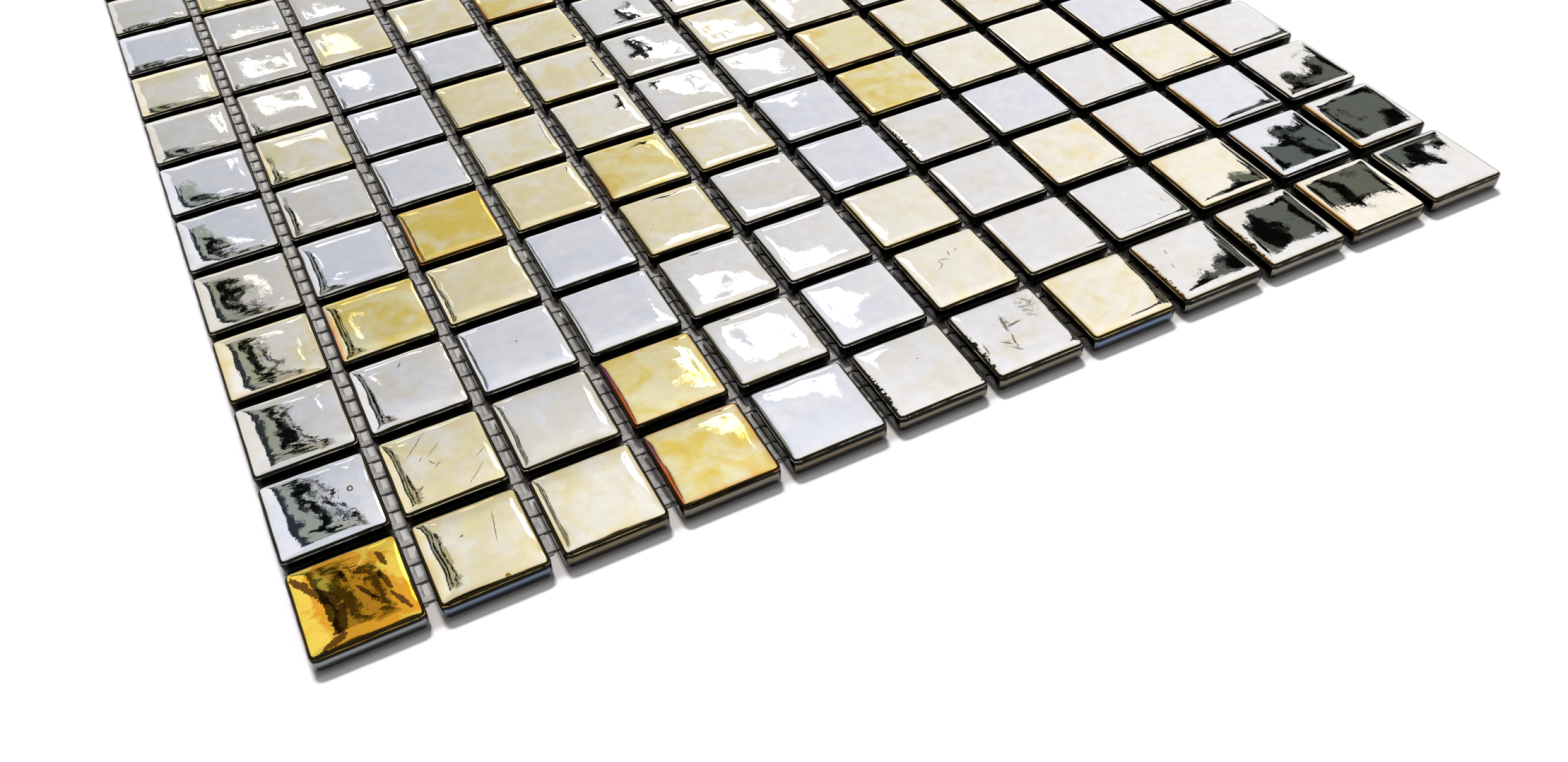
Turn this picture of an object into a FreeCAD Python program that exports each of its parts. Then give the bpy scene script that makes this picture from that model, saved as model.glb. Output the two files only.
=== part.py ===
"""Mosaic tile sheet: 144 square glass tiles with a metallic lustre, glued on a glass-fibre mesh.

The sheet lies flat, face up. Its origin is the middle of its underside, X runs along its front edge
and Z points up. Units are millimetres.
"""
import FreeCAD, Part
import math
import os

# Tile grid
columns = 12
rows = 12
joint_width = 2.5

# One tile
tile_side = 22.5
tile_thickness = 4.9
corner_radius = 1.3
rim_radius = 0.8
foot_flat = 0.9

# Backing mesh: flat yarns in two layers, bonded where they cross
yarn_width = 1.5
yarn_thickness = 0.3
yarn_pitch = 5.15
yarn_tail = 0.6
mesh_setback = 6.2

# Sizes that follow from the ones above
tile_pitch = tile_side + joint_width
sheet_length = columns * tile_pitch - joint_width
sheet_width = rows * tile_pitch - joint_width
warp_bottom = 0.0
weft_bottom = warp_bottom + yarn_thickness
tile_bottom = weft_bottom + yarn_thickness

# Where each lustre lies, as (column, row) counted from the front left corner.
# Every tile that no list names is silver.
gold_places = {(0, 0)}
yellow_places = {(3, 0), (3, 1), (1, 3), (2, 4), (4, 4), (7, 4), (7, 5), (4, 8), (6, 10), (9, 8)}
champagne_places = {
    (1, 0), (2, 0), (7, 0), (10, 0),
    (1, 1), (6, 1), (9, 1),
    (6, 2), (8, 2),
    (0, 3), (2, 3), (4, 3), (10, 3),
    (3, 4), (5, 4), (8, 4), (9, 4),
    (3, 5), (4, 5), (8, 5), (9, 5),
    (1, 6), (3, 6), (4, 6), (6, 6), (7, 6),
    (4, 7), (6, 7), (9, 7),
    (0, 8), (2, 8), (3, 8), (7, 8),
    (5, 9), (8, 9), (10, 9),
    (1, 10), (3, 10), (9, 11), (4, 11), (11, 10),
}
blue_silver_places = {
    (4, 0), (0, 1), (5, 1), (10, 1),
    (2, 2), (3, 2), (10, 2),
    (3, 3), (6, 3), (8, 3),
    (1, 4), (6, 4), (10, 4),
    (0, 5), (2, 5), (0, 6), (2, 6),
    (2, 7), (3, 7), (8, 7), (11, 7),
    (0, 9), (6, 9), (2, 10), (5, 11), (10, 11), (8, 10),
}


def cut_back(radius, turn):
    """How far from an edge a flat starts that touches a round of this radius in its middle. The two
    faces beside the edge turn by this angle, from one to the other."""
    return radius * (math.tan(turn / 2) - math.tan(turn / 4))


def glass_tile():
    """One pressed tile, its front left corner at the origin. Each corner is a flat, the rolled rim
    round the face is three, and the foot draws in for the adhesive to grip."""
    square = math.pi / 2
    half_way_up = tile_thickness / 2
    tile = Part.makeBox(tile_side, tile_side, tile_thickness)
    upright_edges = [edge for edge in tile.Edges if edge.BoundBox.ZLength > half_way_up]
    tile = tile.makeChamfer(cut_back(corner_radius, square), upright_edges)
    face_edges = [edge for edge in tile.Edges if edge.BoundBox.ZMin > half_way_up]
    first_cut = cut_back(rim_radius, square)
    tile = tile.makeChamfer(first_cut, face_edges)
    high_edges = [edge for edge in tile.Edges if edge.BoundBox.ZMin > half_way_up]
    rim_edges = [edge for edge in high_edges if edge.BoundBox.ZLength < first_cut / 2]
    tile = tile.makeChamfer(cut_back(rim_radius, square / 2), rim_edges)
    foot_edges = [edge for edge in tile.Edges if edge.BoundBox.ZMax < half_way_up]
    return tile.makeChamfer(foot_flat, foot_edges)


def tiles_at(places):
    """A copy of the tile at each place of one lustre, resting on the mesh."""
    pattern = glass_tile()
    tiles = []
    for column, row in sorted(places):
        tile = pattern.copy()
        left = column * tile_pitch - sheet_length / 2
        front = row * tile_pitch - sheet_width / 2
        tile.translate(FreeCAD.Vector(left, front, tile_bottom))
        tiles.append(tile)
    return Part.makeCompound(tiles)


def whole_cells(span):
    """How many cells of the mesh fit behind the tiles, clear of the sheet's edges."""
    return math.floor((span - 2 * mesh_setback - yarn_width) / yarn_pitch)


def yarn_layer(cells_across, cells_along):
    """Parallel yarns that run along Y and bound this many cells across X. Their cut ends stand a
    little past the outermost yarns of the other layer."""
    length = cells_along * yarn_pitch + yarn_width + 2 * yarn_tail
    yarns = []
    for number in range(cells_across + 1):
        centre = (number - cells_across / 2) * yarn_pitch
        corner = FreeCAD.Vector(centre - yarn_width / 2, -length / 2, 0)
        yarns.append(Part.makeBox(yarn_width, length, yarn_thickness, corner))
    return Part.makeCompound(yarns)


cells_in_length = whole_cells(sheet_length)
cells_in_width = whole_cells(sheet_width)

warp = yarn_layer(cells_in_length, cells_in_width)
warp.translate(FreeCAD.Vector(0, 0, warp_bottom))

weft = yarn_layer(cells_in_width, cells_in_length)
weft.rotate(FreeCAD.Vector(0, 0, 0), FreeCAD.Vector(0, 0, 1), 90)
weft.translate(FreeCAD.Vector(0, 0, weft_bottom))

grid = {(column, row) for column in range(columns) for row in range(rows)}
silver_places = grid - gold_places - yellow_places - champagne_places - blue_silver_places

parts = {
    "tiles_gold": tiles_at(gold_places & grid),
    "tiles_yellow": tiles_at(yellow_places & grid),
    "tiles_champagne": tiles_at(champagne_places & grid),
    "tiles_silver": tiles_at(silver_places),
    "tiles_blue_silver": tiles_at(blue_silver_places & grid),
    "mesh_warp": warp,
    "mesh_weft": weft,
}

os.makedirs("parts", exist_ok=True)
for name, shape in parts.items():
    shape.exportStep(f"parts/{name}.step")
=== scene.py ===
import math
import bpy
import bmesh
from mathutils import Matrix, Vector, noise


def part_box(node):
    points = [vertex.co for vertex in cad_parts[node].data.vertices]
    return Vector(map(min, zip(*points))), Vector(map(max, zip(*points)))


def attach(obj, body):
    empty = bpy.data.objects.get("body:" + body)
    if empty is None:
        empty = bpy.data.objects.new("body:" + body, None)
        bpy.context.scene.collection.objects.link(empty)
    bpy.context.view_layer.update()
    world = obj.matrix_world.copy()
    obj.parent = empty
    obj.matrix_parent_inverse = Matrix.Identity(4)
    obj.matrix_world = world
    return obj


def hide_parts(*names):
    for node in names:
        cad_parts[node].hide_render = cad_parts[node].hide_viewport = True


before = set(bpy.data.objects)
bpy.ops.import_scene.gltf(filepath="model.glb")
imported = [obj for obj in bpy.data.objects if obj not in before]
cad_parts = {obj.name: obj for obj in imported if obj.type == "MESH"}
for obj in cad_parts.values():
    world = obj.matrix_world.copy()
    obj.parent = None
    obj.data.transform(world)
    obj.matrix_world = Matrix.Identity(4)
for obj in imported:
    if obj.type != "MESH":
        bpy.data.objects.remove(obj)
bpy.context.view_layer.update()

# Camera
# A hand-held camera in front of the sheet's left corner, looking down at 45 degrees over the tiles,
# with a slight roll. The sheet's near corners are in the picture, and its far edge runs out of it.
MM = 0.001
CAMERA_PLACE = Vector((-128.0, -317.5, 216.3)) * MM
CAMERA_HEADING = 24.81
CAMERA_TILT = 45.10
CAMERA_ROLL = -3.09
LENS = 31.56
SENSOR = 36.0
NEAR_CLIP = 10.0 * MM

camera = bpy.data.objects.new("camera", bpy.data.cameras.new("camera"))
camera.data.lens = LENS
camera.data.sensor_width = SENSOR
camera.data.clip_start = NEAR_CLIP
heading_turn = Matrix.Rotation(math.radians(-CAMERA_HEADING), 4, "Z")
tilt_turn = Matrix.Rotation(math.radians(90.0 - CAMERA_TILT), 4, "X")
roll_turn = Matrix.Rotation(math.radians(CAMERA_ROLL), 4, "Z")
camera.matrix_world = Matrix.Translation(CAMERA_PLACE) @ heading_turn @ tilt_turn @ roll_turn
bpy.context.scene.collection.objects.link(camera)
bpy.context.scene.camera = camera
bpy.context.scene.view_settings.view_transform = "Standard"

# Studio
# A pale room with daylight. The lustre mirrors it, so its windows, posts and dark corner show on the
# tiles as white patches and as ragged black shapes. It is painted on the world by azimuth, in degrees
# from +Y towards +X, and by elevation.
LEFT_AZIMUTH = -6.0
RIGHT_AZIMUTH = 50.0
LEFT_TONE = "#c8c9ce"
RIGHT_TONE = "#fcf9f6"
ROOM_STRENGTH = 1.08
FILL_STRENGTH = 0.34
# The wall is brighter above this band of elevation. That fades out towards the right.
UPPER_WALL_LOW = 42.0
UPPER_WALL_HIGH = 49.0
UPPER_WALL_GAIN = 1.26
GAIN_FADES_FROM = 15.0
GAIN_FADES_TO = 45.0
GAIN_KEPT = 0.3
LOW_WALL_TOP = 24.0
LOW_WALL_FADE = 4.0
LOW_WALL_TONE = "#ffffff"
# Every edge wanders by the reach, in lumps of this size. Azimuth and elevation read the noise at
# places apart. The crisp blur, in degrees, is that of most edges.
RAGGED_SIZE = 1.6
RAGGED_REACH = 3.2
RAGGED_PLACES = (3.0, 10.0)
CRISP = 0.08
# Each is azimuth from, to, elevation from, to, colour, strength and blur. Later ones cover earlier ones.
ROOM_SHAPES = [
    # The dark ceiling and the lit wall on the left
    (-60.0, 42.0, 73.0, 87.0, "#14120e", 1.0, 2.5),
    (-60.0, -7.6, 10.0, 60.0, "#f4f3f6", 1.0, 0.3),
    # Posts and windows at the sides and behind
    (-100.0, -84.0, 12.0, 55.0, "#6d6a66", 1.0, 1.5),
    (-150.0, -128.0, 22.0, 50.0, "#ffffff", 1.3, 1.5),
    (84.0, 92.0, 8.0, 56.0, "#5b5a5c", 1.0, 1.2),
    (112.0, 138.0, 24.0, 48.0, "#ffffff", 1.3, 1.5),
    (160.0, 170.0, 10.0, 58.0, "#5f5b57", 1.0, 1.5),
    (-175.0, -164.0, 14.0, 44.0, "#77736e", 1.0, 1.5),
    # A dark doorway with its posts
    (-7.6, -5.5, 33.0, 56.0, "#2e343b", 1.0, CRISP),
    (-5.5, -2.4, 33.0, 56.0, "#9da398", 1.0, CRISP),
    (-3.9, -2.7, 34.5, 55.0, "#0c0d0c", 1.0, CRISP),
    (-2.1, -1.5, 38.0, 54.0, "#1c1e1c", 1.0, 0.05),
    (-2.4, 0.9, 47.6, 58.0, "#b4b1a4", 1.0, 0.15),
    (-1.1, -0.2, 47.0, 56.0, "#0c0d0c", 1.0, 0.05),
    # Windows, the larger ones broken up by what stands in front of them
    (19.7, 29.0, 40.7, 45.3, "#ffffff", 2.8, CRISP),
    (21.4, 22.9, 41.4, 44.0, "#e4e5e8", 1.0, CRISP),
    (25.4, 26.8, 42.4, 43.4, "#e4e5e8", 1.0, CRISP),
    (18.5, 26.0, 30.3, 32.8, "#ffffff", 2.4, CRISP),
    (20.6, 23.4, 31.2, 31.9, "#d8d9dc", 1.0, CRISP),
    (0.4, 6.4, 28.3, 31.0, "#ffffff", 1.4, CRISP),
    (1.4, 4.0, 29.3, 30.1, "#cfd0d3", 1.0, CRISP),
    (-1.6, -0.8, 35.6, 37.8, "#ffffff", 1.3, CRISP),
    (1.0, 1.9, 39.2, 41.2, "#ffffff", 1.3, CRISP),
    (18.0, 19.2, 29.4, 32.6, "#1c1c1c", 1.0, CRISP),
]
# The dark corner is where, for each row, azimuth plus slant times elevation is between two angles. It
# is black, and grey where its noise lies above these values.
CORNER_EDGES = ((0.18, 54.6, 90.0), (0.73, 0.0, 80.1), (0.0, 0.0, 55.8))
CORNER_LOW = 20.0
CORNER_HIGH = 60.0
CORNER_BLUR = 1.0
CORNER_BLACK = "#080908"
CORNER_GREY = "#63675f"
CORNER_PATCHES = 22.0
GREY_FROM = 0.50
GREY_TO = 0.53


def linear(colour):
    """An sRGB hex colour as linear RGBA."""
    values = [int(colour[place:place + 2], 16) / 255 for place in (1, 3, 5)]
    return [value / 12.92 if value <= 0.04045 else ((value + 0.055) / 1.055) ** 2.4 for value in values] + [1]


def add_node(tree, kind, inputs=None, **settings):
    """Adds one node with its settings. An input is a plain value or another node's output. In a Map
    Range node inputs 1 and 2 are the span that it reads, and 3 and 4 the span that it gives."""
    made = tree.nodes.new(kind)
    for name, value in settings.items():
        setattr(made, name, value)
    for socket, value in (inputs or {}).items():
        if isinstance(value, bpy.types.NodeSocket):
            tree.links.new(value, made.inputs[socket])
        else:
            made.inputs[socket].default_value = value
    return made


world = bpy.data.worlds.new("daylight_room")
world.use_nodes = True
room = world.node_tree
room.nodes.clear()
direction = add_node(room, "ShaderNodeTexCoord").outputs["Generated"]


def between(angle, low, high, blur):
    """1 where an angle lies between two others, with edges this soft."""
    rise = add_node(room, "ShaderNodeMapRange", {0: angle, 1: low - blur, 2: low + blur},
                    interpolation_type="SMOOTHSTEP").outputs[0]
    fall = add_node(room, "ShaderNodeMapRange", {0: angle, 1: high - blur, 2: high + blur, 3: 1.0, 4: 0.0},
                    interpolation_type="SMOOTHSTEP").outputs[0]
    return add_node(room, "ShaderNodeMath", {0: rise, 1: fall}, operation="MULTIPLY").outputs[0]


axes = add_node(room, "ShaderNodeSeparateXYZ", {0: direction})
azimuth_radians = add_node(room, "ShaderNodeMath", {0: axes.outputs[0], 1: axes.outputs[1]},
                           operation="ARCTAN2").outputs[0]
elevation_radians = add_node(room, "ShaderNodeMath", {0: axes.outputs[2]}, operation="ARCSINE").outputs[0]
angles = []
for radians, apart in zip((azimuth_radians, elevation_radians), RAGGED_PLACES):
    degrees = add_node(room, "ShaderNodeMath", {0: radians}, operation="DEGREES").outputs[0]
    place = add_node(room, "ShaderNodeVectorMath", {0: direction, 1: (apart, 0, 0)},
                     operation="ADD").outputs[0]
    bumps = add_node(room, "ShaderNodeTexNoise", {"Vector": place, "Scale": math.degrees(1) / RAGGED_SIZE,
                                                  "Detail": 5.0, "Roughness": 0.72}).outputs[0]
    shift = add_node(room, "ShaderNodeMapRange", {0: bumps, 3: -RAGGED_REACH, 4: RAGGED_REACH}).outputs[0]
    angles.append(add_node(room, "ShaderNodeMath", {0: degrees, 1: shift}, operation="ADD").outputs[0])
azimuth, elevation = angles

# The walls
turning = add_node(room, "ShaderNodeMapRange", {0: azimuth, 1: LEFT_AZIMUTH, 2: RIGHT_AZIMUTH}).outputs[0]
tone = add_node(room, "ShaderNodeMix", {0: turning, 6: linear(LEFT_TONE), 7: linear(RIGHT_TONE)},
                data_type="RGBA").outputs[2]
gain = add_node(room, "ShaderNodeMapRange", {0: elevation, 1: UPPER_WALL_LOW, 2: UPPER_WALL_HIGH,
                                             3: 1.0, 4: UPPER_WALL_GAIN}).outputs[0]
gain_share = add_node(room, "ShaderNodeMapRange", {0: azimuth, 1: GAIN_FADES_FROM, 2: GAIN_FADES_TO,
                                                   3: 1.0, 4: GAIN_KEPT}).outputs[0]
gain = add_node(room, "ShaderNodeMix", {0: gain_share, 2: 1.0, 3: gain}).outputs[0]
tone = add_node(room, "ShaderNodeVectorMath", {0: tone, "Scale": gain}, operation="SCALE").outputs[0]
low_wall = add_node(room, "ShaderNodeMapRange", {0: elevation, 1: LOW_WALL_TOP - LOW_WALL_FADE,
                                                 2: LOW_WALL_TOP, 3: 1.0, 4: 0.0}).outputs[0]
tone = add_node(room, "ShaderNodeMix", {0: low_wall, 6: tone, 7: linear(LOW_WALL_TONE)},
                data_type="RGBA").outputs[2]

# What stands in front of the walls
for left, right, low, high, colour, strength, blur in ROOM_SHAPES:
    across = between(azimuth, left, right, blur)
    upright = between(elevation, low, high, blur)
    mask = add_node(room, "ShaderNodeMath", {0: across, 1: upright}, operation="MULTIPLY").outputs[0]
    bright = [value * strength for value in linear(colour)]
    tone = add_node(room, "ShaderNodeMix", {0: mask, 6: tone, 7: bright}, data_type="RGBA").outputs[2]
corner = between(elevation, CORNER_LOW, CORNER_HIGH, CORNER_BLUR)
for slant, low, high in CORNER_EDGES:
    slanted = add_node(room, "ShaderNodeMath", {0: elevation, 1: slant, 2: azimuth},
                       operation="MULTIPLY_ADD").outputs[0]
    edge = between(slanted, low, high, CRISP)
    corner = add_node(room, "ShaderNodeMath", {0: corner, 1: edge}, operation="MULTIPLY").outputs[0]
shade = add_node(room, "ShaderNodeTexNoise", {"Vector": direction, "Scale": CORNER_PATCHES, "Detail": 4.0})
patches = add_node(room, "ShaderNodeMapRange", {0: shade.outputs[0], 1: GREY_FROM, 2: GREY_TO}).outputs[0]
corner_tone = add_node(room, "ShaderNodeMix", {0: patches, 6: linear(CORNER_BLACK), 7: linear(CORNER_GREY)},
                       data_type="RGBA").outputs[2]
tone = add_node(room, "ShaderNodeMix", {0: corner, 6: tone, 7: corner_tone}, data_type="RGBA").outputs[2]

# Full strength where it is mirrored, soft where it only fills the shadows, and white behind the sheet
light_path = add_node(room, "ShaderNodeLightPath")
brightness = add_node(room, "ShaderNodeMapRange", {0: light_path.outputs["Is Glossy Ray"],
                                                   3: FILL_STRENGTH, 4: ROOM_STRENGTH}).outputs[0]
room_light = add_node(room, "ShaderNodeBackground", {0: tone, 1: brightness})
white_backdrop = add_node(room, "ShaderNodeBackground", {0: (1, 1, 1, 1), 1: 1.0})
room_or_white = add_node(room, "ShaderNodeMixShader",
                         {0: light_path.outputs["Is Camera Ray"], 1: room_light.outputs[0],
                          2: white_backdrop.outputs[0]})
add_node(room, "ShaderNodeOutputWorld", {0: room_or_white.outputs[0]})
bpy.context.scene.world = world

# Window lamp
# The brightest window, as a lamp high up beyond the far edge. It throws the short soft shadow in front
# of the sheet, and the lustre doesn't mirror it.
LAMP_AZIMUTH = 6.0
LAMP_ELEVATION = 70.0
LAMP_DISTANCE = 4.0
LAMP_WIDTH = 0.77
LAMP_HEIGHT = 0.45
LAMP_POWER = 150.0

lamp = bpy.data.objects.new("window_lamp", bpy.data.lights.new("window_lamp", "AREA"))
lamp.data.shape = "RECTANGLE"
lamp.data.size = LAMP_WIDTH
lamp.data.size_y = LAMP_HEIGHT
lamp.data.energy = LAMP_POWER
lamp.visible_glossy = False
lamp_heading = Matrix.Rotation(math.radians(-LAMP_AZIMUTH), 4, "Z")
lamp_tilt = Matrix.Rotation(math.radians(LAMP_ELEVATION - 90.0), 4, "X")
lamp.matrix_world = lamp_heading @ lamp_tilt @ Matrix.Translation((0, 0, LAMP_DISTANCE))
bpy.context.scene.collection.objects.link(lamp)

# Floor
# White paper that the sheet lies on. It glows a little, and more far off, so that it reads as white up
# to the horizon and still keeps the shadow of the tiles. Under the sheet it is a painted shade of grey,
# for the shade in the joints, and hardly glows, and the mirror sides of the tiles don't see that glow.
FLOOR_HALF = 3.0
FLOOR_DROP = 0.02 * MM
FLOOR_WHITE = "#eeecf2"
SHEET_PAINTED_SHADE = "#c6c1bd"
FLOOR_GLOW = 0.12
JOINT_GLOW = 0.02
FAR_GLOW = 1.0
FAR_FROM = 0.3
FAR_TO = 2.0
SHEET_REACH = 150.0 * MM
SHEET_EDGE = 2.0 * MM

floor_mesh = bpy.data.meshes.new("floor")
shape = bmesh.new()
bmesh.ops.create_grid(shape, x_segments=1, y_segments=1, size=FLOOR_HALF,
                      matrix=Matrix.Translation((0, 0, -FLOOR_DROP)))
shape.to_mesh(floor_mesh)
shape.free()
floor = bpy.data.objects.new("floor", floor_mesh)
bpy.context.scene.collection.objects.link(floor)
paper = bpy.data.materials.new("white_paper")
paper.use_nodes = True
tree = paper.node_tree
tree.nodes.clear()
spot = add_node(tree, "ShaderNodeVectorMath", {0: add_node(tree, "ShaderNodeTexCoord").outputs["Object"]},
                operation="ABSOLUTE")
reach = add_node(tree, "ShaderNodeSeparateXYZ", {0: spot.outputs[0]})
farther = add_node(tree, "ShaderNodeMath", {0: reach.outputs[0], 1: reach.outputs[1]},
                   operation="MAXIMUM").outputs[0]
outside = add_node(tree, "ShaderNodeMapRange", {0: farther, 1: SHEET_REACH - SHEET_EDGE, 2: SHEET_REACH},
                   interpolation_type="SMOOTHSTEP").outputs[0]
open_glow = add_node(tree, "ShaderNodeMapRange",
                     {0: farther, 1: FAR_FROM, 2: FAR_TO, 3: FLOOR_GLOW, 4: FAR_GLOW},
                     interpolation_type="SMOOTHSTEP").outputs[0]
brightness = add_node(tree, "ShaderNodeMix", {0: outside, 2: JOINT_GLOW, 3: open_glow}).outputs[0]
# Painted shade: the paper under the sheet is greyer, as it lies in the shade of the joints
white = add_node(tree, "ShaderNodeMix", {0: outside, 6: linear(SHEET_PAINTED_SHADE), 7: linear(FLOOR_WHITE)},
                 data_type="RGBA").outputs[2]
matt_white = add_node(tree, "ShaderNodeBsdfDiffuse", {0: white})
glow = add_node(tree, "ShaderNodeEmission", {0: (1, 1, 1, 1), 1: brightness})
both = add_node(tree, "ShaderNodeAddShader", {0: matt_white.outputs[0], 1: glow.outputs[0]})
ray = add_node(tree, "ShaderNodeLightPath")
mirrored = add_node(tree, "ShaderNodeMath",
                    {0: ray.outputs["Is Glossy Ray"], 1: ray.outputs["Is Transmission Ray"]}, operation="ADD")
any_sight = add_node(tree, "ShaderNodeMath",
                     {0: mirrored.outputs[0], 1: outside, 2: ray.outputs["Is Camera Ray"]},
                     operation="MULTIPLY_ADD", use_clamp=True)
surface = add_node(tree, "ShaderNodeMixShader",
                   {0: any_sight.outputs[0], 1: matt_white.outputs[0], 2: both.outputs[0]})
add_node(tree, "ShaderNodeOutputMaterial", {0: surface.outputs[0]})
floor_mesh.materials.append(paper)

# Glass tiles
# Squares of black glass, pressed in a mould and fired face up, so that the face is a shallow cushion
# with a rolled rim and fine ripples. A metal-oxide lustre is fused to the face and thins out down the
# sides. The mesh is glued to their backs.
TILE_SIDE = 22.5
JOINT = 2.5
PITCH = TILE_SIDE + JOINT
TILE_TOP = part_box("tiles_silver")[1][2] / MM
TILE_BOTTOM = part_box("tiles_silver")[0][2] / MM
SHEET_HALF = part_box("tiles_silver")[1][0] / MM
CORNER_RADIUS = 1.3
RIM_RADIUS = 0.8
# The face has turned down by the first angle where the rim starts, and the rim goes on in these steps
RIM_FROM = 12.0
RIM_STEPS = (30.0, 50.0, 70.0, 90.0)
# The foot draws in by each first share of its size in turn, at the height of the second share
FOOT = 0.9
FOOT_STEPS = ((0.35, 0.4), (0.65, 0.0))
FACE_CELLS = 18
RIM_CROWDING = 0.5
# Each face is crowned and slightly twisted. Its cushion is soft on the left of the sheet and crisper
# towards the right, and each of its ripples is a height and a length.
CROWN_RADIUS = 800.0
TWIST = 0.0005
CUSHION_DROP = 0.30
CUSHION_VARIES = 0.5
CUSHION_LUMP = 5.0
SOFT_CUSHION = 7.5
CRISP_CUSHION = 17.0
CRISP_COLUMN = 8
CRISP_VARIES = 0.4
RIPPLES = ((0.022, 9.0), (0.007, 3.6))
COLUMN_SEED = 17.3
ROW_SEED = 5.9

FACE_HALF = TILE_SIDE / 2 - RIM_RADIUS
CORE_HALF = TILE_SIDE / 2 - CORNER_RADIUS


def step_out(point, distance):
    """Moves a point of the outline straight outwards, keeping the corners round."""
    core = Vector((max(-CORE_HALF, min(CORE_HALF, point.x)), max(-CORE_HALF, min(CORE_HALF, point.y))))
    outwards = (Vector((point.x, point.y)) - core).normalized()
    point.x += outwards.x * distance
    point.y += outwards.y * distance


def round_corner(point, half, radius):
    """Draws the corners of a square sheet of points in to a round of this radius."""
    start = half - radius
    across = (abs(point.x) - start) / radius
    along = (abs(point.y) - start) / radius
    if across > 0 and along > 0:
        round_x = across * math.sqrt(1 - along * along / 2)
        round_y = along * math.sqrt(1 - across * across / 2)
        point.x = math.copysign(start + radius * round_x, point.x)
        point.y = math.copysign(start + radius * round_y, point.y)


def tile_blank():
    """The plain tile in mm, its middle at the origin and its face at height 0: a grid for the face,
    finer towards the rim, then rings drawn out over the rim, down the side and in under the foot."""
    tile = bmesh.new()
    bmesh.ops.create_grid(tile, x_segments=FACE_CELLS, y_segments=FACE_CELLS, size=FACE_HALF)
    for vertex in tile.verts:
        for axis in (0, 1):
            share = vertex.co[axis] / FACE_HALF
            crowded = math.sin(share * math.pi / 2)
            eased = (1 - RIM_CROWDING) * share + RIM_CROWDING * crowded
            vertex.co[axis] = eased * FACE_HALF
        round_corner(vertex.co, FACE_HALF, CORNER_RADIUS - RIM_RADIUS)
    rings = []
    turned = math.radians(RIM_FROM)
    reach = 0.0
    for degrees in RIM_STEPS:
        turn = math.radians(degrees)
        share = (math.sin(turn) - math.sin(turned)) / (1 - math.sin(turned))
        rings.append((RIM_RADIUS * share - reach, -RIM_RADIUS * (math.cos(turned) - math.cos(turn))))
        reach = RIM_RADIUS * share
    height = TILE_TOP - TILE_BOTTOM
    rings.append((0.0, -height / 2))
    rings.append((0.0, -height + FOOT))
    for inwards, level in FOOT_STEPS:
        rings.append((-FOOT * inwards, -height + FOOT * level))
    edge_loop = [edge for edge in tile.edges if edge.is_boundary]
    for outwards, level in rings:
        made = bmesh.ops.extrude_edge_only(tile, edges=edge_loop)["geom"]
        edge_loop = [part for part in made if isinstance(part, bmesh.types.BMEdge) and part.is_boundary]
        for vertex in [part for part in made if isinstance(part, bmesh.types.BMVert)]:
            step_out(vertex.co, outwards)
            vertex.co.z = level
    bmesh.ops.holes_fill(tile, edges=edge_loop)
    bmesh.ops.recalc_face_normals(tile, faces=tile.faces)
    mesh = bpy.data.meshes.new("tile_blank")
    tile.to_mesh(mesh)
    tile.free()
    return mesh


def face_height(x, y, seed, power):
    """How far the fired face lies from flat at a point of one tile: its crown, the cushion that falls
    off to the rim, and the ripples that it cooled with."""
    crown = -(x * x + y * y) / (2 * CROWN_RADIUS) - TWIST * x * y
    across = min(1.0, abs(x / FACE_HALF)) ** power
    along = min(1.0, abs(y / FACE_HALF)) ** power
    uneven = 1 + CUSHION_VARIES * noise.noise(Vector((x / CUSHION_LUMP, y / CUSHION_LUMP, seed)))
    drop = CUSHION_DROP * SOFT_CUSHION / power
    cushion = -drop * uneven * (across + along - across * along)
    ripple = 0.0
    for height, length in RIPPLES:
        ripple += height * noise.noise(Vector((x / length, y / length, seed + length)))
    return crown + cushion + ripple


def tile_places(node):
    """The column and row of each tile that a CAD node holds."""
    cells = set()
    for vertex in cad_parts[node].data.vertices:
        column = math.floor((vertex.co.x / MM + SHEET_HALF + JOINT / 2) / PITCH)
        row = math.floor((vertex.co.y / MM + SHEET_HALF + JOINT / 2) / PITCH)
        cells.add((column, row))
    return sorted(cells)


blank = tile_blank()


def fire_tiles(name, node, finish):
    """All the tiles of one lustre as one piece, each with ripples of its own."""
    tiles = bmesh.new()
    for column, row in tile_places(node):
        first = len(tiles.verts)
        tiles.from_mesh(blank)
        tiles.verts.ensure_lookup_table()
        centre_x = (column + 0.5) * PITCH - JOINT / 2 - SHEET_HALF
        centre_y = (row + 0.5) * PITCH - JOINT / 2 - SHEET_HALF
        seed = COLUMN_SEED * column + ROW_SEED * row
        crispness = column / CRISP_COLUMN + CRISP_VARIES * noise.noise(Vector((seed, 0.5, 0.5)))
        share = min(1.0, max(0.0, crispness))
        power = SOFT_CUSHION + share * (CRISP_CUSHION - SOFT_CUSHION)
        for vertex in tiles.verts[first:]:
            x, y, level = vertex.co
            held = max(0.0, 1 + level / (TILE_TOP - TILE_BOTTOM))
            height = level + held * face_height(x, y, seed, power)
            vertex.co = Vector((centre_x + x, centre_y + y, TILE_TOP + height)) * MM
    mesh = bpy.data.meshes.new(name)
    tiles.to_mesh(mesh)
    tiles.free()
    mesh.shade_smooth()
    mesh.materials.append(finish)
    piece = bpy.data.objects.new(name, mesh)
    bpy.context.scene.collection.objects.link(piece)
    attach(piece, "root")
    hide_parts(node)


# Lustre
# Metal oxide fired on black glass: a mirror film, whose colour drifts in clouds with its thickness and
# runs to amber at the rims. Along the rolled rim it is painted near black, a painted reflection of the
# dark room that the rim would mirror.
RIM_PAINTED_DARK = "#17150f"
OLIVE_PAINTED_DARK = "#2e2a15"
AMBER_RIM = "#8a5c20"
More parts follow.
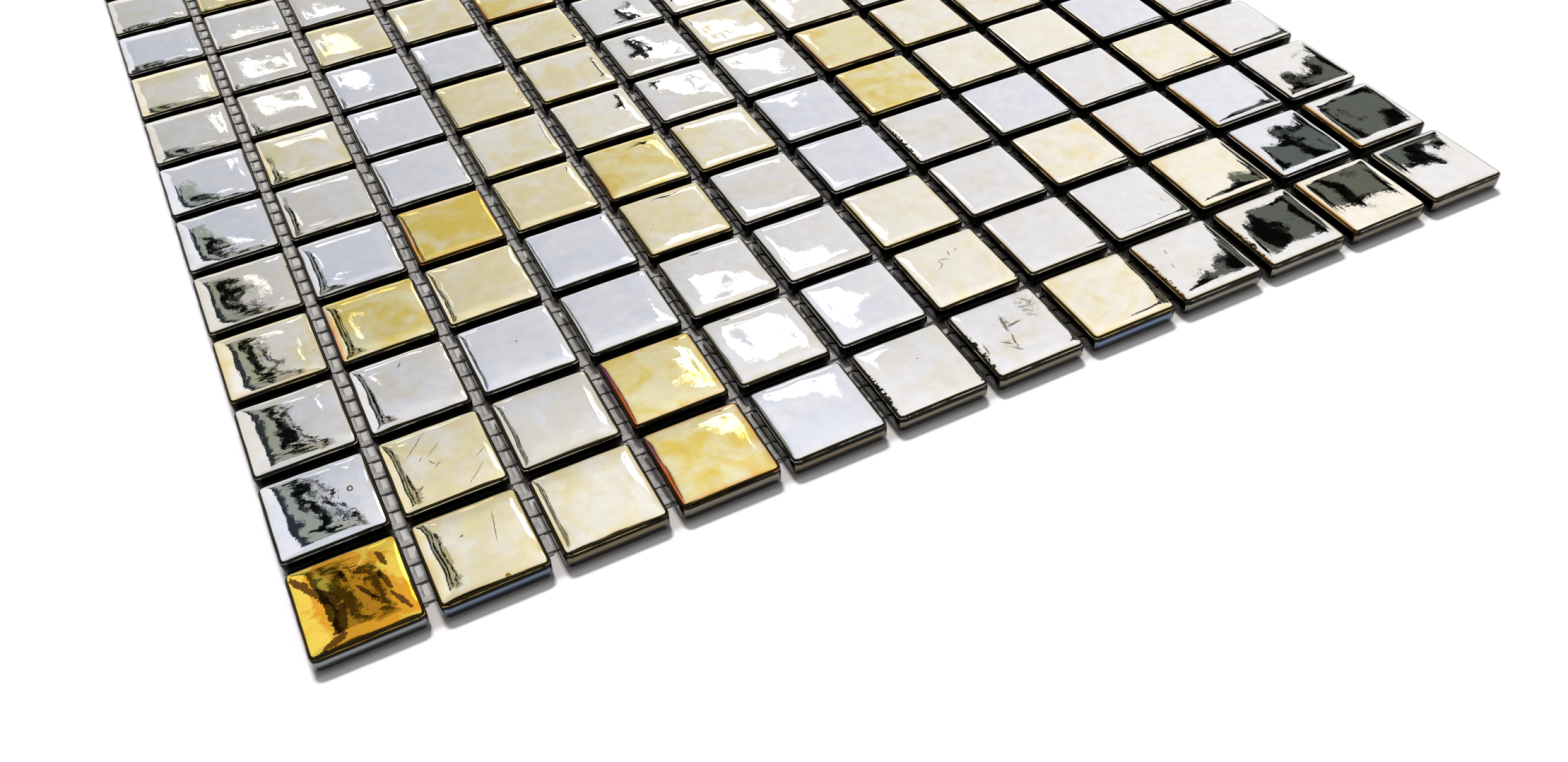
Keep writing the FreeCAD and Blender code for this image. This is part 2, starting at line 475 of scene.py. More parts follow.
# The film thins out from one column to another, and its thickness differs from tile to tile. Each tile
# reads its noise from a patch of its own, about this far from the next.
CLOUD_SIZE = 9.0
THINS_FROM_COLUMN = 2.0
THINS_TO_COLUMN = 8.0
FULL_FILM = -0.01
THIN_FILM = -0.17
TILE_DRIFT = 0.16
PATCHES_APART = 400.0
GRAIN_SIZE = 3.0
GRAIN_FROM = 0.3
GRAIN_TO = 0.7
GRAIN_DULL = 0.92
GRAIN_BRIGHT = 1.01
# Slopes of the face and the rim, in degrees
AMBER_FROM = 5.0
AMBER_TO = 16.0
LEFT_COUNTS = 60.0
# Between these slopes the rim turns to the painted dark reflection, and past them to the side
DARK_RIM_STARTS = 16.0
DARK_RIM_FADE = 3.0
DARK_RIM_ENDS = 34.0
STEEP_RIM_FADE = 12.0
GLINT_STARTS = 44.0
GLINT_ENDS = 62.0
GLINT_FADE = 6.0
GLINT_SHARE = 0.6
GLINT_PATCH_FROM = 0.44
GLINT_PATCH_TO = 0.56
GLINT_LEAST = 0.12
# Rims that lean to the left, by the sideways part of the normal
RIM_FLUSH = "#d8481a"
RIM_MAGENTA = "#8e2a7c"
RIM_TARNISH = "#d8ac62"
COOL_CHANCE = 0.25
LEAST_WARMTH = 0.1
FLUSH_FROM = -0.10
FLUSH_TO = -0.22
FLUSH_FRONT_ROW = 1.0
FLUSH_BACK_ROW = 4.0
FLUSH_AT_BACK = 0.4
MAGENTA_FROM = 1.0
MAGENTA_TO = 1.25
TARNISH_FROM_COLUMN = 6.0
TARNISH_TO_COLUMN = 10.0
AMBER_RIM_FROM = -0.12
AMBER_RIM_TO = -0.30
# The film on the sides starts below the face, and painted shade darkens it between two heights above the foot
SMOKE_FILM = "#7c7056"
FOOT_PAINTED_SHADE = "#15171a"
# Sides facing into the joints are painted near black, as painted shade
JOINT_PAINTED_SHADE = "#0d0d0c"
SIDE_FILM_STARTS = 1.15
SIDE_FILM_VARIES = 0.4
SIDE_FILM_FADE = 0.5
SMOKE_FROM = 0.65
SMOKE_TO = 0.35
FOOT_SHADE_FROM = 3.9
FOOT_SHADE_TO = 0.7
# Wear. The outline of every mark wanders by this much, in lumps of this size. Marks are drawn a
# little coarser than real ones, so that they show, and so deep that only their outline counts.
WEAR_COLOUR = "#6a5b36"
MARK_WANDER = 0.8
MARK_LUMP = 2.0
MARK_DEPTH = 100.0
BLOTCHES_PER_MM = 0.75
# Chips on the left rim of these tiles count as so many degrees more of slope. The rim's row is like
# those of the scratches.
CHIPPED_TILES = [(5, 0), (6, 0), (9, 0), (8, 0), (7, 3)]
CHIPPED_RIM = (0.6, 9.0, 90, 17.0, 3.0)
CHIP_SIZE = 0.9
CHIP_FROM = 0.48
CHIP_TO = 0.60
CHIP_LEAN = 28.0
# Each scratch is its tile's column and row, its middle in mm from the tile's front left corner, its
# direction in degrees, its length and its width.
SCRATCHES = [
    (1, 0, 15.4, 13.9, 80, 11.0, 0.30),
    (1, 0, 8.8, 14.5, 0, 0.9, 0.7),
    (1, 1, 7.6, 17.7, 45, 11.0, 0.28),
    (1, 1, 10.7, 14.9, 45, 6.0, 0.24),
    (1, 1, 9.4, 11.4, -62, 2.2, 0.40),
    (1, 1, 10.4, 10.3, 47, 2.8, 0.34),
    (1, 1, 7.4, 13.3, 51, 1.6, 0.32),
    (1, 1, 16.7, 4.2, 46, 9.0, 0.26),
    (1, 1, 19.0, 9.4, 36, 4.2, 0.22),
    (1, 1, 5.3, 5.4, 36, 2.0, 0.50),
    (1, 2, 11.2, 18.2, 58, 2.4, 0.50),
    (2, 2, 12.0, 12.8, 20, 0.8, 0.5),
    (4, 1, 14.7, 10.5, 97, 3.8, 0.26),
    (4, 1, 14.6, 10.3, 32, 4.2, 0.26),
    (6, 1, 10.3, 14.6, -22, 3.6, 0.4),
    (6, 1, 8.4, 12.8, 46, 3.0, 0.34),
    (6, 1, 8.8, 14.2, 100, 2.2, 0.34),
    (6, 1, 12.3, 16.1, 70, 2.2, 0.38),
    (6, 1, 14.6, 16.4, 10, 1.6, 0.34),
    (5, 0, 12.6, 13.8, -10, 0.9, 0.4),
    (6, 0, 10.1, 14.1, 81, 6.8, 1.0),
    (6, 0, 12.0, 13.0, 6, 5.4, 0.8),
    (6, 0, 7.3, 8.5, -41, 3.0, 0.7),
    (6, 0, 8.7, 5.7, -41, 2.8, 0.6),
    (6, 0, 2.2, 8.9, 82, 4.8, 0.6),
    (6, 0, 9.3, 8.7, 76, 5.0, 0.6),
    (8, 1, 18.3, 7.6, -76, 2.1, 0.30),
    (8, 1, 14.3, 3.4, -38, 1.2, 0.30),
    (8, 0, 6.6, 16.3, 82, 2.0, 0.40),
    (8, 0, 5.1, 11.5, 79, 2.2, 0.34),
]
SCRATCH_CORE = 0.5
SCRATCH_SHARE = 0.85
# Each smudge is its tile's column and row, its middle in mm and its radius.
SMUDGES = [
    (6, 0, 18.0, 17.6, 3.4),
    (6, 0, 17.4, 14.6, 2.4),
    (6, 0, 10.6, 13.4, 3.0),
    (6, 0, 8.0, 7.4, 2.2),
]
SMUDGE_FULLNESS = 1.6
SMUDGE_FROM = 0.50
SMUDGE_TO = 0.62
SMUDGE_SHARE = 0.75
# Each ring is a burst bubble: its tile's column and row, its middle in mm and its radius.
RINGS = [(0, 1, 17.4, 12.7, 0.55)]
RING_LINE = 0.5
RING_WIDTH = 0.16
# Pits, tiny bubbles in the film, are about this far apart
PIT_APART = 21.0
PIT_RADIUS = 0.36
PIT_SHARE = 0.8
# In the gold the film pooled thick in the middle and burnt dark over the pool. One chip on the front
# edge of a champagne tile is burnt too. The rows are like those of the scratches.
POOLS = [(0, 0, 12.0, 10.0, 100, 30.0, 22.0)]
POOL_DEPTH = 0.35
BURNS = [
    (0, 0, 2.8, 17.6, -62, 11.0, 2.2),
    (0, 0, 6.2, 13.0, -52, 10.0, 3.6),
    (0, 0, 7.6, 6.6, 80, 11.0, 3.6),
    (0, 0, 5.4, 2.0, 20, 8.0, 2.2),
    (0, 0, 10.4, 16.2, -80, 5.0, 1.6),
    (0, 0, 18.2, 17.4, -78, 6.0, 2.0),
    (0, 0, 17.6, 11.6, -76, 8.0, 1.6),
    (0, 0, 13.6, 10.4, -60, 8.0, 1.4),
    (0, 0, 19.2, 5.4, -64, 8.0, 1.6),
    (1, 0, 13.9, 0.9, 90, 2.6, 1.8),
]
BURN_COLOUR = "#6c4812"
BURN_CORE = 0.5
BURN_WEIGHT = 0.9
BURN_FROM = 0.72
BURN_TO = 0.77
# Gloss: fingermarks and the finest ripples
SMEARS_PER_MM = 0.35
SMEAR_FROM = 0.4
SMEAR_TO = 0.7
CLEAN_ROUGHNESS = 0.012
SMEARED_ROUGHNESS = 0.035
RIPPLE_SIZE = 1.6
RIPPLE_DEPTH = 0.0034


def on_tile(column, row, x, y):
    """A place on one tile's face, in mm in the sheet's frame."""
    return (column * PITCH - SHEET_HALF + x, row * PITCH - SHEET_HALF + y, TILE_TOP)


def round_marks(rows, across):
    """Rows of a place and a radius as rows of a mark, this many radii across."""
    return [(column, row, x, y, 0, across * radius, across * radius) for column, row, x, y, radius in rows]


def lustre(name, node, pale, deep, rim, side_colour, flush=0.0, deep_from=0.36, deep_to=0.72,
           metallic=1.0):
    """The fired finish of one lustre, from the colour of its thin film to that of its thick film. It
    mirrors the room in its own colour, and is painted near black along the rims, a painted reflection of a
    dark room."""
    places = tile_places(node)
    made = bpy.data.materials.new(name)
    made.use_nodes = True
    tree = made.node_tree
    shader = tree.nodes["Principled BSDF"]

    # Which tile it is, and three chances of its own
    place = add_node(tree, "ShaderNodeTexCoord").outputs["Object"]
    millimetres = add_node(tree, "ShaderNodeVectorMath", {0: place, "Scale": 1 / MM},
                           operation="SCALE").outputs[0]
    shift = SHEET_HALF + JOINT / 2
    counted = add_node(tree, "ShaderNodeVectorMath", {0: millimetres, 1: (shift, shift, 0)},
                       operation="ADD").outputs[0]
    in_pitches = add_node(tree, "ShaderNodeVectorMath", {0: counted, 1: (PITCH, PITCH, 1 / MM)},
                          operation="DIVIDE").outputs[0]
    cell = add_node(tree, "ShaderNodeVectorMath", {0: in_pitches}, operation="FLOOR").outputs[0]
    cell_axes = add_node(tree, "ShaderNodeSeparateXYZ", {0: cell})
    column = cell_axes.outputs[0]
    row = cell_axes.outputs[1]
    in_cell = add_node(tree, "ShaderNodeVectorMath", {0: in_pitches}, operation="FRACTION").outputs[0]
    along = add_node(tree, "ShaderNodeSeparateXYZ", {0: in_cell}).outputs[1]
    chance = add_node(tree, "ShaderNodeTexWhiteNoise", {"Vector": cell}, noise_dimensions="3D")
    chances = add_node(tree, "ShaderNodeSeparateXYZ", {0: chance.outputs["Color"]})
    own_patch = add_node(tree, "ShaderNodeVectorMath",
                         {0: chance.outputs["Color"], 1: (PATCHES_APART,) * 3, 2: millimetres},
                         operation="MULTIPLY_ADD").outputs[0]

    # How far the surface leans, and how far to the left
    normal = add_node(tree, "ShaderNodeNewGeometry").outputs["Normal"]
    normal_axes = add_node(tree, "ShaderNodeSeparateXYZ", {0: normal})
    leftward = normal_axes.outputs[0]
    slope_radians = add_node(tree, "ShaderNodeMath", {0: normal_axes.outputs[2]},
                             operation="ARCCOSINE").outputs[0]
    slope = add_node(tree, "ShaderNodeMath", {0: slope_radians}, operation="DEGREES").outputs[0]

    # Marks at named places
    wander = add_node(tree, "ShaderNodeTexNoise", {"Vector": millimetres, "Scale": 1 / MARK_LUMP,
                                                   "Detail": 3.0})
    wandering = add_node(tree, "ShaderNodeVectorMath",
                         {0: wander.outputs["Color"], 1: (MARK_WANDER, MARK_WANDER, 0), 2: millimetres},
                         operation="MULTIPLY_ADD").outputs[0]
    centred = add_node(tree, "ShaderNodeVectorMath", {0: wandering, 1: (MARK_WANDER / 2, MARK_WANDER / 2, 0)},
                       operation="SUBTRACT").outputs[0]
    blotches = add_node(tree, "ShaderNodeTexNoise",
                        {"Vector": own_patch, "Scale": BLOTCHES_PER_MM, "Detail": 4.0, "Roughness": 0.62,
                         "Distortion": 1.0}).outputs[0]

    def spots(marks):
        """1 in the middle of each mark that lies on these tiles, and 0 at its outline."""
        most = 0.0
        for column, row, x, y, direction, length, width in marks:
            if (column, row) in places:
                spot = add_node(tree, "ShaderNodeMapping",
                                {"Vector": centred, "Location": on_tile(column, row, x, y),
                                 "Rotation": (0, 0, math.radians(direction)),
                                 "Scale": (length / 2, width / 2, MARK_DEPTH)},
                                vector_type="TEXTURE").outputs[0]
                inside = add_node(tree, "ShaderNodeTexGradient", {"Vector": spot},
                                  gradient_type="SPHERICAL").outputs[1]
                most = add_node(tree, "ShaderNodeMath", {0: inside, 1: most}, operation="MAXIMUM").outputs[0]
        return most

    # The film's colour by its thickness, and its burns
    clouds = add_node(tree, "ShaderNodeTexNoise",
                      {"Vector": own_patch, "Scale": 1 / CLOUD_SIZE, "Detail": 5.0, "Roughness": 0.56,
                       "Distortion": 0.8}).outputs[0]
    thinning = add_node(tree, "ShaderNodeMapRange", {0: column, 1: THINS_FROM_COLUMN, 2: THINS_TO_COLUMN,
                                                     3: FULL_FILM, 4: THIN_FILM}).outputs[0]
    drift = add_node(tree, "ShaderNodeMath", {0: chances.outputs[0], 1: TILE_DRIFT, 2: thinning},
                     operation="MULTIPLY_ADD").outputs[0]
    pooled = add_node(tree, "ShaderNodeMath", {0: spots(POOLS), 1: POOL_DEPTH, 2: drift},
                      operation="MULTIPLY_ADD").outputs[0]
    thickness = add_node(tree, "ShaderNodeMath", {0: clouds, 1: pooled}, operation="ADD").outputs[0]
    deepness = add_node(tree, "ShaderNodeMapRange", {0: thickness, 1: deep_from, 2: deep_to},
                        interpolation_type="SMOOTHSTEP").outputs[0]
    film = add_node(tree, "ShaderNodeMix", {0: deepness, 6: linear(pale), 7: linear(deep)},
                    data_type="RGBA").outputs[2]
    near_burn = add_node(tree, "ShaderNodeMath", {0: spots(BURNS), 1: BURN_CORE},
                         operation="MINIMUM").outputs[0]
    burning = add_node(tree, "ShaderNodeMath", {0: near_burn, 1: BURN_WEIGHT, 2: blotches},
                       operation="MULTIPLY_ADD").outputs[0]
    burnt = add_node(tree, "ShaderNodeMapRange", {0: burning, 1: BURN_FROM, 2: BURN_TO}).outputs[0]
    film = add_node(tree, "ShaderNodeMix", {0: burnt, 6: film, 7: linear(BURN_COLOUR)},
                    data_type="RGBA").outputs[2]

    # Scratches, smudges, burst bubbles and pits
    scratched = add_node(tree, "ShaderNodeMapRange",
                         {0: spots(SCRATCHES), 1: 0.0, 2: SCRATCH_CORE, 3: 0.0, 4: SCRATCH_SHARE})
    crazed = add_node(tree, "ShaderNodeMapRange",
                      {0: blotches, 1: SMUDGE_FROM, 2: SMUDGE_TO, 4: SMUDGE_SHARE}).outputs[0]
    near_smudge = add_node(tree, "ShaderNodeMath", {0: spots(round_marks(SMUDGES, 2)), 1: SMUDGE_FULLNESS},
                           operation="MULTIPLY", use_clamp=True).outputs[0]
    smudge = add_node(tree, "ShaderNodeMath", {0: near_smudge, 1: crazed}, operation="MULTIPLY")
    ring = add_node(tree, "ShaderNodeMath", {0: spots(round_marks(RINGS, 4)), 1: RING_LINE, 2: RING_WIDTH},
                    operation="COMPARE")
    pits = add_node(tree, "ShaderNodeTexVoronoi", {"Vector": own_patch, "Scale": 1 / PIT_APART})
    pit = add_node(tree, "ShaderNodeMapRange", {0: pits.outputs["Distance"], 1: PIT_RADIUS / PIT_APART,
                                                2: 0.0, 3: 0.0, 4: PIT_SHARE})
    for mark in (scratched, smudge, ring, pit):
        film = add_node(tree, "ShaderNodeMix", {0: mark.outputs[0], 6: film, 7: linear(WEAR_COLOUR)},
                        data_type="RGBA").outputs[2]

    # Amber towards the rims, and red, magenta or tarnish on those that lean to the left
    warmth = add_node(tree, "ShaderNodeMapRange", {0: chances.outputs[1], 1: COOL_CHANCE, 3: LEAST_WARMTH,
                                                   4: 1.0}).outputs[0]
    to_left = add_node(tree, "ShaderNodeMath", {0: leftward, 1: -LEFT_COUNTS},
                       operation="MULTIPLY").outputs[0]
    warm_slope = add_node(tree, "ShaderNodeMath", {0: slope, 1: to_left}, operation="MAXIMUM").outputs[0]
    amber = add_node(tree, "ShaderNodeMapRange", {0: warm_slope, 1: AMBER_FROM, 2: AMBER_TO, 3: 0.0,
                                                  4: warmth}).outputs[0]
    film = add_node(tree, "ShaderNodeMix", {0: amber, 6: film, 7: linear(rim)},
                    data_type="RGBA").outputs[2]
    flushed = add_node(tree, "ShaderNodeMapRange", {0: leftward, 1: FLUSH_FROM, 2: FLUSH_TO}).outputs[0]
    row_flush = add_node(tree, "ShaderNodeMapRange", {0: row, 1: FLUSH_FRONT_ROW, 2: FLUSH_BACK_ROW, 3: flush,
                                                      4: FLUSH_AT_BACK * flush}).outputs[0]
    reddened = add_node(tree, "ShaderNodeMath", {0: flushed, 1: row_flush}, operation="MULTIPLY").outputs[0]
    towards_end = add_node(tree, "ShaderNodeMath", {0: clouds, 1: along}, operation="ADD").outputs[0]
    ends = add_node(tree, "ShaderNodeMapRange", {0: towards_end, 1: MAGENTA_FROM, 2: MAGENTA_TO}).outputs[0]
    blush = add_node(tree, "ShaderNodeMix", {0: ends, 6: linear(RIM_FLUSH), 7: linear(RIM_MAGENTA)},
                     data_type="RGBA").outputs[2]
    film = add_node(tree, "ShaderNodeMix", {0: reddened, 6: film, 7: blush}, data_type="RGBA").outputs[2]
    rightward = add_node(tree, "ShaderNodeMapRange", {0: column, 1: TARNISH_FROM_COLUMN,
                                                      2: TARNISH_TO_COLUMN, 3: 0.0,
                                                      4: chances.outputs[2]}).outputs[0]
    tarnish = add_node(tree, "ShaderNodeMath", {0: flushed, 1: rightward}, operation="MULTIPLY").outputs[0]
    film = add_node(tree, "ShaderNodeMix", {0: tarnish, 6: film, 7: linear(RIM_TARNISH)},
                    data_type="RGBA").outputs[2]
    grain = add_node(tree, "ShaderNodeTexNoise",
                     {"Vector": own_patch, "Scale": 1 / GRAIN_SIZE, "Detail": 4.0, "Roughness": 0.62})
    dulling = add_node(tree, "ShaderNodeMapRange", {0: grain.outputs[0], 1: GRAIN_FROM, 2: GRAIN_TO,
                                                    3: GRAIN_DULL, 4: GRAIN_BRIGHT}).outputs[0]
    film = add_node(tree, "ShaderNodeVectorMath", {0: film, "Scale": dulling}, operation="SCALE").outputs[0]

    # The sides: smoke or the lustre's own thin film on the sheet's outer edges, painted shade in the joints
    height = add_node(tree, "ShaderNodeSeparateXYZ", {0: millimetres}).outputs[2]
    smoky = add_node(tree, "ShaderNodeMapRange", {0: chances.outputs[0], 1: SMOKE_FROM,
                                                  2: SMOKE_TO}).outputs[0]
    side_film_and_shade = add_node(tree, "ShaderNodeMix", {0: smoky, 6: linear(side_colour), 7: linear(SMOKE_FILM)},
                         data_type="RGBA").outputs[2]
    # Painted shade: the side film darkens towards the foot, to near black
    foot = add_node(tree, "ShaderNodeMapRange",
                    {0: height, 1: TILE_BOTTOM + FOOT_SHADE_FROM, 2: TILE_BOTTOM + FOOT_SHADE_TO},
                    interpolation_type="SMOOTHSTEP").outputs[0]
    side_film_and_shade = add_node(tree, "ShaderNodeMix", {0: foot, 6: side_film_and_shade, 7: linear(FOOT_PAINTED_SHADE)},
                         data_type="RGBA").outputs[2]
    # Painted shade: sides inside the joints are near black, and only the sheet's outer sides show film
    apart = add_node(tree, "ShaderNodeVectorMath", {0: millimetres}, operation="ABSOLUTE").outputs[0]
    spans = add_node(tree, "ShaderNodeSeparateXYZ", {0: apart})
    farther = add_node(tree, "ShaderNodeMath", {0: spans.outputs[0], 1: spans.outputs[1]},
                       operation="MAXIMUM").outputs[0]
    outer = add_node(tree, "ShaderNodeMath", {0: farther, 1: SHEET_HALF - FOOT / 2},
                     operation="GREATER_THAN").outputs[0]
    side_film_and_shade = add_node(tree, "ShaderNodeMix", {0: outer, 6: linear(JOINT_PAINTED_SHADE), 7: side_film_and_shade},
                         data_type="RGBA").outputs[2]
    lowered = add_node(tree, "ShaderNodeMath", {0: chances.outputs[2], 1: SIDE_FILM_VARIES, 2: height},
                       operation="MULTIPLY_ADD").outputs[0]
    film_line = TILE_TOP - SIDE_FILM_STARTS
    low_down = add_node(tree, "ShaderNodeMapRange", {0: lowered, 1: film_line, 2: film_line - SIDE_FILM_FADE},
                        interpolation_type="SMOOTHSTEP").outputs[0]

    # The rim's painted dark reflection, near black, with a patchy glint of film where it is steep
    rise = add_node(tree, "ShaderNodeMapRange", {0: slope, 1: GLINT_STARTS,
                                                 2: GLINT_STARTS + GLINT_FADE}).outputs[0]
    fall = add_node(tree, "ShaderNodeMapRange", {0: slope, 1: GLINT_ENDS - GLINT_FADE, 2: GLINT_ENDS,
                                                 3: GLINT_SHARE, 4: 0.0}).outputs[0]
    glint = add_node(tree, "ShaderNodeMath", {0: rise, 1: fall}, operation="MULTIPLY").outputs[0]
    patchy = add_node(tree, "ShaderNodeMapRange", {0: clouds, 1: GLINT_PATCH_FROM, 2: GLINT_PATCH_TO,
                                                   3: GLINT_LEAST}).outputs[0]
    glint = add_node(tree, "ShaderNodeMath", {0: glint, 1: patchy}, operation="MULTIPLY").outputs[0]
    edge = add_node(tree, "ShaderNodeMix", {0: glint, 6: linear(RIM_PAINTED_DARK), 7: film},
                    data_type="RGBA").outputs[2]
    side = add_node(tree, "ShaderNodeMix", {0: low_down, 6: edge, 7: side_film_and_shade},
                    data_type="RGBA").outputs[2]

    # Where the rim turns to the painted dark reflection: at the rim's slope, and sooner at a chip in the film
    specks = add_node(tree, "ShaderNodeTexNoise", {"Vector": own_patch, "Scale": 1 / CHIP_SIZE,
                                                   "Detail": 2.0}).outputs[0]
    chipped = add_node(tree, "ShaderNodeMapRange", {0: specks, 1: CHIP_FROM, 2: CHIP_TO}).outputs[0]
    chipped_rims = [(*tile, *CHIPPED_RIM) for tile in CHIPPED_TILES]
    chipping = add_node(tree, "ShaderNodeMath", {0: spots(chipped_rims), 1: CHIP_LEAN},
                        operation="MULTIPLY").outputs[0]
    worn_slope = add_node(tree, "ShaderNodeMath", {0: chipping, 1: chipped, 2: slope},
                          operation="MULTIPLY_ADD").outputs[0]
    dark_rim_and_chips = add_node(tree, "ShaderNodeMapRange",
                        {0: worn_slope, 1: DARK_RIM_STARTS - DARK_RIM_FADE, 2: DARK_RIM_STARTS}).outputs[0]
    steep_rim_and_chips = add_node(tree, "ShaderNodeMapRange",
                      {0: worn_slope, 1: DARK_RIM_ENDS - STEEP_RIM_FADE, 2: DARK_RIM_ENDS}).outputs[0]
    facing_left = add_node(tree, "ShaderNodeMapRange", {0: leftward, 1: AMBER_RIM_FROM, 2: AMBER_RIM_TO,
                                                        3: 0.0, 4: rightward}).outputs[0]
    dark_rim_colour = add_node(tree, "ShaderNodeMix",
                            {0: facing_left, 6: linear(OLIVE_PAINTED_DARK), 7: linear(AMBER_RIM)},
                            data_type="RGBA").outputs[2]
    face = add_node(tree, "ShaderNodeMix", {0: dark_rim_and_chips, 6: film, 7: dark_rim_colour},
                    data_type="RGBA").outputs[2]
    colour = add_node(tree, "ShaderNodeMix", {0: steep_rim_and_chips, 6: face, 7: side}, data_type="RGBA").outputs[2]
    tree.links.new(colour, shader.inputs["Base Color"])
    shader.inputs["Metallic"].default_value = metallic

    # Gloss
    smear = add_node(tree, "ShaderNodeTexNoise", {"Vector": own_patch, "Scale": SMEARS_PER_MM, "Detail": 2.0})
    roughness = add_node(tree, "ShaderNodeMapRange",
                         {0: smear.outputs[0], 1: SMEAR_FROM, 2: SMEAR_TO, 3: CLEAN_ROUGHNESS,
                          4: SMEARED_ROUGHNESS})
    tree.links.new(roughness.outputs[0], shader.inputs["Roughness"])
    ripples = add_node(tree, "ShaderNodeTexNoise",
                       {"Vector": own_patch, "Scale": 1 / RIPPLE_SIZE, "Detail": 2.0})
    bump = add_node(tree, "ShaderNodeBump",
                    {"Strength": 1.0, "Distance": RIPPLE_DEPTH * MM, "Height": ripples.outputs[0]})
    tree.links.new(bump.outputs[0], shader.inputs["Normal"])
    return made


# Deep gold, fired thick, so that it scatters a little light and is never quite black
fire_tiles("gold_tiles", "tiles_gold",
           lustre("gold_lustre_on_glass", "tiles_gold", "#fcda56", "#eca82c", "#cf7f1a", "#9a9ea2",
                  deep_from=0.62, deep_to=0.70, metallic=0.94))
# Yellow, flushed red and magenta along the left rims
fire_tiles("yellow_tiles", "tiles_yellow",
           lustre("yellow_lustre_on_glass", "tiles_yellow", "#f3ebc0", "#ebd064", "#e08a2c", "#7d8488",
                  flush=1.0))
# Champagne, silver with clouds of cream
fire_tiles("champagne_tiles", "tiles_champagne",
           lustre("champagne_lustre_on_glass", "tiles_champagne", "#f9f5ea", "#f4e7b8", "#dcc070", "#6e7f9a"))
# Silver, with a breath of cream where the film is thick
fire_tiles("silver_tiles", "tiles_silver",
           lustre("silver_lustre_on_glass", "tiles_silver", "#eeeef1", "#eae5d8", "#cfc6ae", "#8a8775"))
# Blue silver, the thinnest film, cool as steel
fire_tiles("blue_silver_tiles", "tiles_blue_silver",
           lustre("blue_silver_lustre_on_glass", "tiles_blue_silver", "#e8ebf5", "#f1f1f3", "#cfd0c8",
                  "#8d96a0"))

# Backing mesh
# A laid scrim of glass-fibre yarns in two layers, coated in resin that bonds them where they cross.
# It is glued behind the tiles and shows in the joints.
YARN_WIDTH = 1.6
YARN_HEIGHT = 0.3
YARN_SIDES = 8
YARN_STEP = 2.575
YARN_WANDER = 0.18
WANDER_LENGTH = 11.0
YARN_SEED = 3.7
FIBRE_DARK = "#8d8985"
FIBRE_PALE = "#bcb7b1"
FIBRE_ROUGHNESS = 0.42
STRAND_DEPTH = 0.05
STRANDS_PER_MM = 5.0
STREAKS_PER_MM = 0.4
STAINS_PER_MM = 0.4
DARK_TO = 0.12
PALE_FROM = 0.38


def yarn_places(node, axis):
    """Where the parallel yarns of a CAD layer lie, in mm along one axis."""
    edges = sorted({round(vertex.co[axis] / MM, 3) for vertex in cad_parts[node].data.vertices})
    return [(low + high) / 2 for low, high in zip(edges[0::2], edges[1::2])]


def yarn_blank(length):
    """One straight yarn along Y in mm, its middle at the origin: a flat round section, drawn along."""
    yarn = bmesh.new()
    bmesh.ops.create_circle(yarn, cap_ends=True, segments=YARN_SIDES, radius=0.5)
    bmesh.ops.transform(yarn, verts=yarn.verts, matrix=Matrix.Rotation(math.pi / 2, 4, "X"))
    bmesh.ops.scale(yarn, verts=yarn.verts, vec=(YARN_WIDTH, 1, YARN_HEIGHT))
    bmesh.ops.translate(yarn, verts=yarn.verts, vec=(0, -length / 2, 0))
    steps = round(length / YARN_STEP)
    cap = list(yarn.faces)
    for step in range(steps):
        made = bmesh.ops.extrude_face_region(yarn, geom=cap)["geom"]
        if step:
            bmesh.ops.delete(yarn, geom=cap, context="FACES_ONLY")
        cap = [part for part in made if isinstance(part, bmesh.types.BMFace)]
        moved = [part for part in made if isinstance(part, bmesh.types.BMVert)]
        bmesh.ops.translate(yarn, verts=moved, vec=(0, length / steps, 0))
    bmesh.ops.recalc_face_normals(yarn, faces=yarn.faces)
    mesh = bpy.data.meshes.new("yarn_blank")
    yarn.to_mesh(mesh)
    yarn.free()
    return mesh


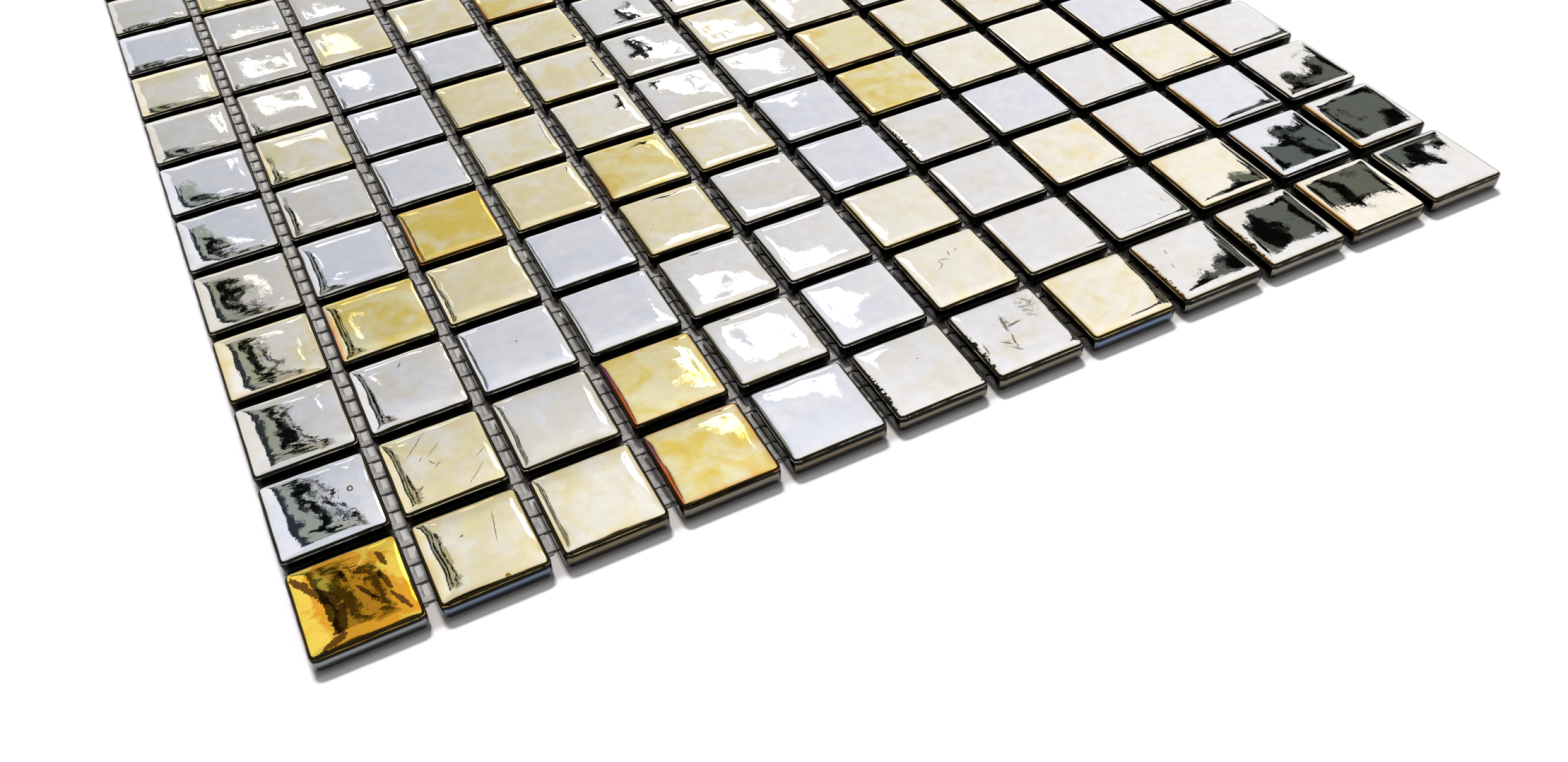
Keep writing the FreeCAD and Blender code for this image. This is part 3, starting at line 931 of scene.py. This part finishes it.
def lay_yarns(name, node, across, finish):
    """One layer of yarns, each with a slight wander from side to side."""
    low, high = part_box(node)
    along = 1 - across
    yarn = yarn_blank((high[along] - low[along]) / MM)
    level = (low[2] + high[2]) / 2 / MM
    middle = (low[along] + high[along]) / 2 / MM
    layer = bmesh.new()
    for number, place in enumerate(yarn_places(node, across)):
        first = len(layer.verts)
        layer.from_mesh(yarn)
        layer.verts.ensure_lookup_table()
        for vertex in layer.verts[first:]:
            side, run, height = vertex.co
            lean = noise.noise(Vector((number * YARN_SEED, run / WANDER_LENGTH, across)))
            vertex.co[across] = place + side + YARN_WANDER * lean
            vertex.co[along] = middle + run
            vertex.co.z = level + height
    bmesh.ops.scale(layer, vec=(MM, MM, MM), verts=layer.verts)
    bmesh.ops.recalc_face_normals(layer, faces=layer.faces)
    mesh = bpy.data.meshes.new(name)
    layer.to_mesh(mesh)
    layer.free()
    mesh.shade_smooth()
    mesh.materials.append(finish)
    piece = bpy.data.objects.new(name, mesh)
    bpy.context.scene.collection.objects.link(piece)
    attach(piece, "root")
    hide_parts(node)


def coated_fibre(name, stretch):
    """Bundled glass filaments under a thin resin: off-white, with fine lines along the yarn, drawn
    coarser than real filaments so that they show."""
    made = bpy.data.materials.new(name)
    made.use_nodes = True
    tree = made.node_tree
    shader = tree.nodes["Principled BSDF"]
    place = add_node(tree, "ShaderNodeTexCoord").outputs["Object"]
    along = add_node(tree, "ShaderNodeVectorMath", {0: place, 1: stretch}, operation="MULTIPLY").outputs[0]
    strands = add_node(tree, "ShaderNodeTexNoise", {"Vector": along, "Scale": 1 / MM,
                                                    "Detail": 3.0}).outputs[0]
    stain = add_node(tree, "ShaderNodeTexNoise", {"Vector": place, "Scale": STAINS_PER_MM / MM,
                                                  "Detail": 2.0}).outputs[0]
    mixed = add_node(tree, "ShaderNodeMath", {0: strands, 1: stain}, operation="MULTIPLY").outputs[0]
    shade = add_node(tree, "ShaderNodeMapRange", {0: mixed, 1: DARK_TO, 2: PALE_FROM}).outputs[0]
    colour = add_node(tree, "ShaderNodeMix", {0: shade, 6: linear(FIBRE_DARK), 7: linear(FIBRE_PALE)},
                      data_type="RGBA").outputs[2]
    tree.links.new(colour, shader.inputs["Base Color"])
    shader.inputs["Roughness"].default_value = FIBRE_ROUGHNESS
    bump = add_node(tree, "ShaderNodeBump", {"Strength": 1.0, "Distance": STRAND_DEPTH * MM,
                                             "Height": strands})
    tree.links.new(bump.outputs[0], shader.inputs["Normal"])
    return made


lay_yarns("warp_yarns", "mesh_warp", 0,
          coated_fibre("coated_fibre_warp", (STRANDS_PER_MM, STREAKS_PER_MM, STRANDS_PER_MM)))
lay_yarns("weft_yarns", "mesh_weft", 1,
          coated_fibre("coated_fibre_weft", (STREAKS_PER_MM, STRANDS_PER_MM, STRANDS_PER_MM)))
